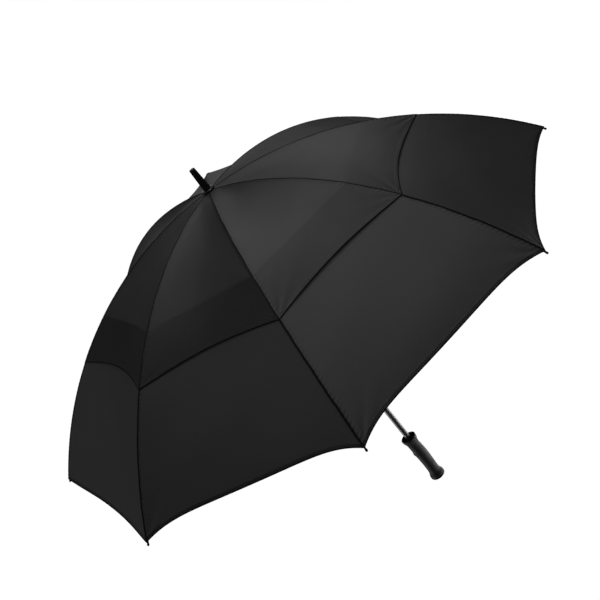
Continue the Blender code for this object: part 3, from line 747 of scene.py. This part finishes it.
def grip_ring(z, segments, shrink=0.0):
    """Outline of the rubber at height z: palm swell on +X and a finger stop opposite."""
    palm = max(0.0, sin(pi * min(max((z - 0.02) / 0.095, 0.0), 1.0)))
    stop = np.exp(-((z - FINGER_STOP_AT) / 0.0050) ** 2)
    ring = []
    for a in np.linspace(0, 2 * pi, segments, endpoint=False):
        front = max(0.0, -cos(a)) ** 2
        r = smooth_curve(z, GRIP_HEIGHTS, GRIP_RADII) - shrink
        r += PALM_SWELL * palm * cos(a) + FINGER_STOP_RISE * stop * front
        ring.append((r * cos(a), r * sin(a), z))
    return ring


def make_grip():
    """Rubber sleeve, with a shallow groove round its foot and rolled ends."""
    segments = 128
    low, high = GRIP_HEIGHTS[0], GRIP_HEIGHTS[-1]
    rings = []
    for z in np.linspace(low, high, 118):
        groove = 0.00045 * np.exp(-((z - 0.0095) / 0.0005) ** 2)
        rolled = 0.0006 * max(0.0, 1 - (z - low) / 0.0008) ** 2
        rolled += 0.0006 * max(0.0, 1 - (high - z) / 0.0010) ** 2
        rings.append(grip_ring(z, segments, groove + rolled))
    bore = [[(BORE * cos(a), BORE * sin(a), z)
             for a in np.linspace(0, 2 * pi, segments, endpoint=False)] for z in (high, low)]
    rings = bore[1:] + rings + bore[:1] + bore[1:]
    mesh = skin("grip_sleeve", rings, closed_ends=False, sharp=50)
    bm = bmesh.new()
    bm.from_mesh(mesh)
    bmesh.ops.remove_doubles(bm, verts=bm.verts, dist=1e-7)
    mesh = mesh_of(bm, "grip_sleeve", 50)
    sleeve = add_piece("grip_sleeve", mesh, "grip_rubber", "root")
    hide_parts("grip")


def make_cup():
    low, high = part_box("tip_cup")
    base, rim = low[2], high[2]
    outline = [(BORE, base), (0.0161, base), (0.0167, base + 0.0020), (0.0176, base + 0.0045),
               (0.0184, base + 0.0066), (0.0190, base + 0.0090), (0.0195, base + 0.0120)]
    outline += [(0.0187 + 0.0010 * cos(a), rim - 0.0010 + 0.0010 * sin(a))
                for a in radians(18) * np.arange(0, 11)]
    outline += [(0.0176, rim - 0.0022), (0.0173, rim - 0.0040), (0.0166, base + 0.0070),
                (0.0156, base + 0.0034), (0.0148, base + 0.0022), (0.0135, base + 0.0014),
                (BORE, base + 0.0014)]
    cup = add_piece("rib_cup", turned("rib_cup", outline, 128, 50), "cup_gloss", "root")
    cup.data.materials.append(MATERIALS["grip_rubber"])
    for face in cup.data.polygons:
        outward = face.normal.dot(Vector((face.center.x, face.center.y, 0.0))) > 0
        face.material_index = int(outward and face.center.z < rim - 0.0022)
    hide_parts("tip_cup")


def make_butt():
    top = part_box("grip")[0][2] - 0.0003
    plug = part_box("butt_cap")[1][2]
    spigot = 0.0052
    outline = [(0.0, 0.0), (0.0060, 0.0), (0.0062, 0.00035), (0.0072, 0.00035), (0.0074, 0.0),
               (0.0125, 0.0)]
    outline += [(0.0125 + 0.0066 * sin(a), 0.0044 - 0.0044 * cos(a))
                for a in radians(9) * np.arange(1, 11)]
    outline += [(0.0190, 0.0056), (0.0186, top), (spigot, top), (spigot, plug), (0.0, plug)]
    cap = add_piece("end_cap", turned("end_cap", outline, 128, 50), "butt_plastic", "root")
    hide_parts("butt_cap")


CARRIED = {"shaft": "shaft_graphite", "crown_notch": "moulded_nylon", "runner": "moulded_nylon",
           "crown_wire": "wire_steel", "runner_wire": "wire_steel", "top_catch": "leaf_steel",
           "bottom_catch": "leaf_steel"}


def finish_carried_nodes():
    """Gives the solids that stay their finishes."""
    for rib in range(1, RIBS + 1):
        CARRIED[f"rib_inner_{rib}"] = "rib_lacquer"
        CARRIED[f"stretcher_{rib}"] = "rib_lacquer"
    for node, material in CARRIED.items():
        mesh_object = frame["nodes"][node]
        for slot in mesh_object.material_slots:
            slot.material = MATERIALS[material]


# ---- Stage -----------------------------------------------------------------------------------
def area_light(name, place, target, size, power):
    data = bpy.data.lights.new(name, "AREA")
    data.shape = "RECTANGLE"
    data.size, data.size_y = size
    data.energy = power
    lamp = bpy.data.objects.new(name, data)
    lamp.location = place
    lamp.rotation_mode = "QUATERNION"
    lamp.rotation_quaternion = (Vector(target) - Vector(place)).to_track_quat("-Z", "Y")
    lamp.visible_camera = False
    bpy.context.collection.objects.link(lamp)
    return lamp


def make_floor():
    """A white floor that only the camera sees: it lights nothing and hides no light."""
    mesh = bpy.data.meshes.new("floor")
    half, level = 60.0, -0.002
    corners = [(-half, -half, level), (half, -half, level), (half, half, level),
               (-half, half, level)]
    mesh.from_pydata(corners, [], [(0, 1, 2, 3)])
    floor = bpy.data.objects.new("floor", mesh)
    bpy.context.collection.objects.link(floor)
    finish = Finish("pale_floor", (0.08, 0.08, 0.08), 0.9)
    finish.put("Emission Color", (1.0, 1.0, 1.0, 1.0))
    finish.put("Emission Strength", 1.0)
    mesh.materials.append(finish.material)
    floor.visible_diffuse = False
    floor.visible_glossy = False
    floor.visible_transmission = False
    floor.visible_shadow = False


SURROUND = 0.035      # soft light from all round


def make_world():
    world = bpy.data.worlds.new("studio")
    bpy.context.scene.world = world
    world.use_nodes = True
    tree = world.node_tree
    background = tree.nodes["Background"]
    background.inputs["Color"].default_value = (1.0, 1.0, 1.0, 1.0)
    seen = tree.nodes.new("ShaderNodeLightPath")
    strength = tree.nodes.new("ShaderNodeMapRange")
    strength.inputs["To Min"].default_value = SURROUND
    strength.inputs["To Max"].default_value = 1.0
    tree.links.new(seen.outputs["Is Camera Ray"], strength.inputs["Value"])
    tree.links.new(strength.outputs["Result"], background.inputs["Strength"])


CAMERA_PLACE = Vector((0.2805, -2.6131, 1.7224))
CAMERA_FORWARD = Vector((-0.0753, 0.9155, -0.3953))
CAMERA_UP = Vector((0.5937, 0.3597, 0.7198))


def make_camera():
    """Looks down on the umbrella's side, rolled so that the shaft leans to the left."""
    data = bpy.data.cameras.new("camera")
    data.sensor_width = 36.0
    data.lens = 74.44
    data.shift_x = -0.0397
    data.shift_y = -0.0202
    camera = bpy.data.objects.new("camera", data)
    right = CAMERA_FORWARD.cross(CAMERA_UP).normalized()
    up = right.cross(CAMERA_FORWARD).normalized()
    turn = Matrix((right, up, -CAMERA_FORWARD.normalized())).transposed()
    camera.matrix_world = Matrix.Translation(CAMERA_PLACE) @ turn.to_4x4()
    bpy.context.collection.objects.link(camera)
    bpy.context.scene.camera = camera


LIGHTS = (  # name, elevation, azimuth, power
    ("right_back", 55, 45, 17.5), ("right_front", 55, 315, 17.0), ("top", 90, 0, 17.5),
    ("left", 30, 180, 7.5), ("right_rim", 30, 60, 5.5), ("back", 55, 90, 6.0),
    ("backdrop", 14, 95, 3.5), ("below_right", -30, 45, 34.0), ("below_left", -30, 180, 26.0))
LIGHT_DISTANCE = 4.0
LIGHT_SIZE = (1.8, 1.8)
STRIP_PLACE = (0.38, -0.027, -0.12)    # a narrow light that only reaches the handle
STRIP_TARGET = (0.0, 0.0, 0.12)
STRIP_SIZE = (0.14, 0.5)
STRIP_POWER = 0.15
STRIP_SPREAD = radians(60)


def make_studio():
    make_floor()
    make_world()
    make_camera()
    middle = Vector((0.0, 0.0, 0.6))
    for name, elevation, azimuth, power in LIGHTS:
        height, heading = radians(elevation), radians(azimuth)
        level = cos(height)
        way = Vector((level * cos(heading), level * sin(heading), sin(height)))
        area_light(name, middle + way * LIGHT_DISTANCE, middle, LIGHT_SIZE, power)
    strip = area_light("handle_strip", STRIP_PLACE, STRIP_TARGET, STRIP_SIZE, STRIP_POWER)
    strip.data.spread = STRIP_SPREAD
    bpy.context.scene.view_settings.view_transform = "Standard"


# ---- Assembly --------------------------------------------------------------------------------
make_canopy()
make_seams()
make_rods()
make_tips()
make_ties()
make_top()
make_grip()
make_cup()
make_butt()
finish_carried_nodes()
make_studio()
